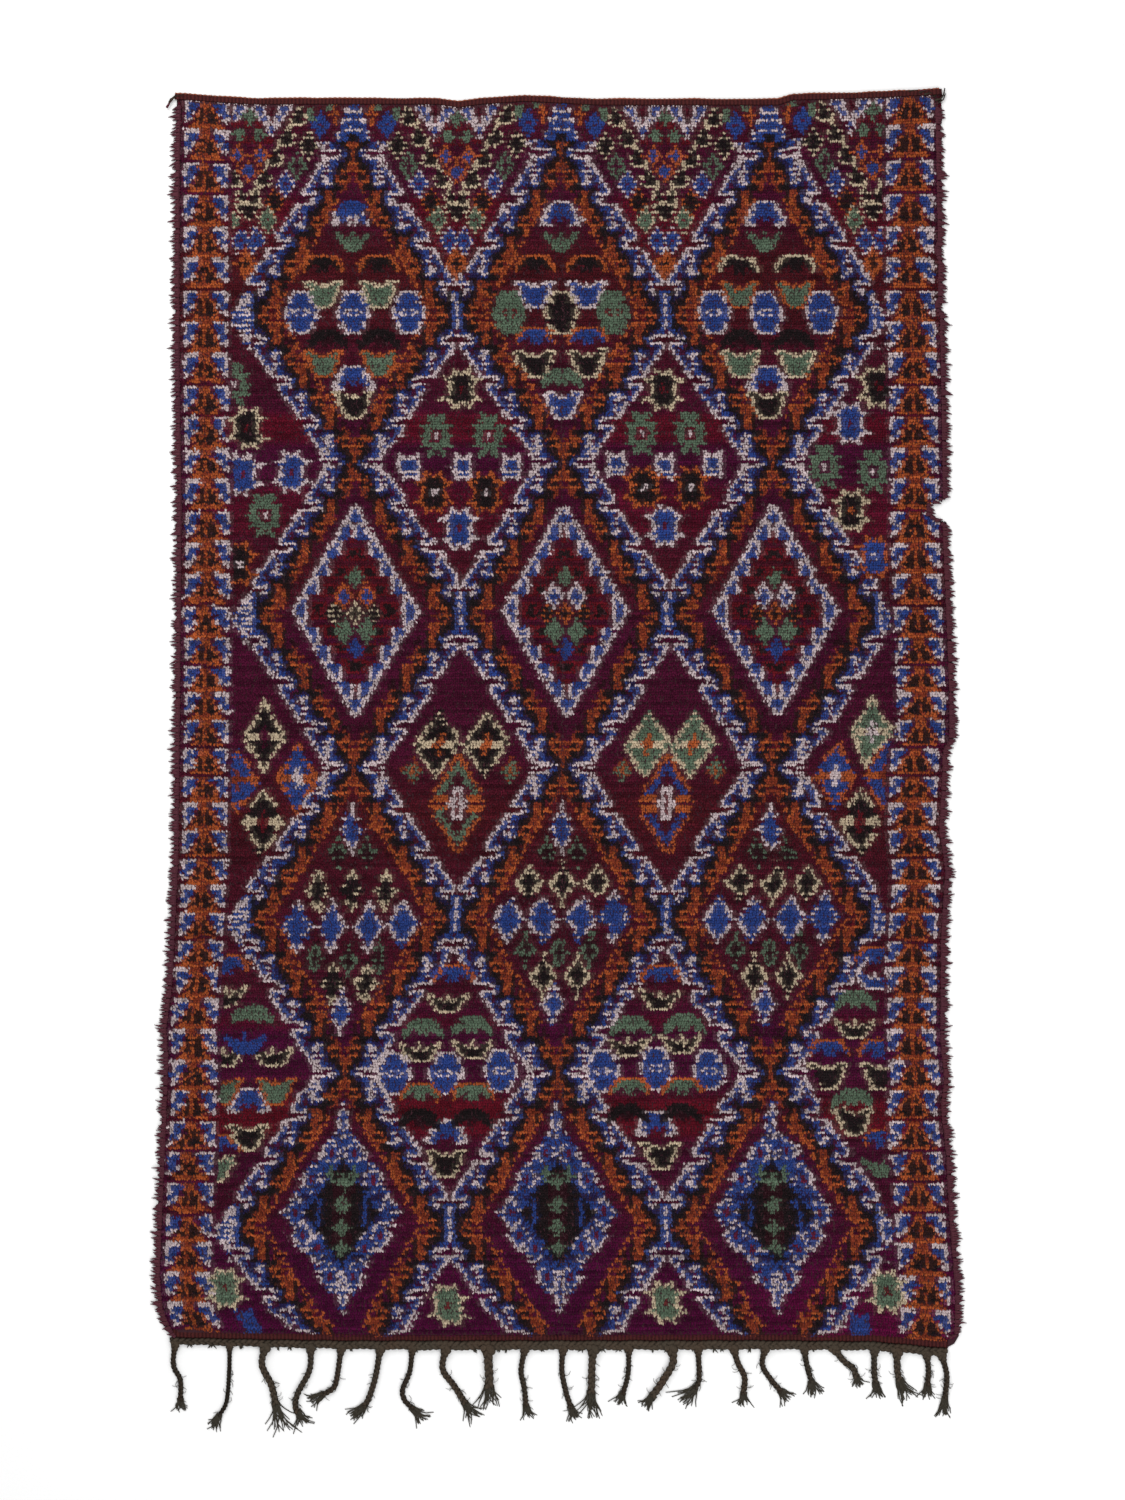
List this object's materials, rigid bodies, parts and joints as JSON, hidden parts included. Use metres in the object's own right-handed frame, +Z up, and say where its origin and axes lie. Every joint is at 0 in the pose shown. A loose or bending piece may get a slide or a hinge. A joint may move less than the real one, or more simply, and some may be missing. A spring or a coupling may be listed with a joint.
{
  "type": "knotted pile rug with tassels",
  "caption": "Long flat wool pile rug with a lattice of serrated diamonds between side borders, ragged selvedges, flat-woven ends and a braided, tasselled foot.",
  "frame": {"origin": "on the flat underside, near the middle of the pile", "axes": "+Y along the rug to the head, the end without tassels; +X across it, to the right as seen from above; +Z up, the way the pile faces"},
  "size_m": [1.9751, 3.2285, 0.0195],
  "materials": {
    "pile_wool": "dull hand-spun wool pile in wine, blue, orange, black, green and cream",
    "dark_wool": "dull dark olive-brown twisted wool"
  },
  "bodies": {
    "root": {"rug_cloth": "pile_wool", "braid_and_tassels": "dark_wool"}
  },
  "joints": []
}
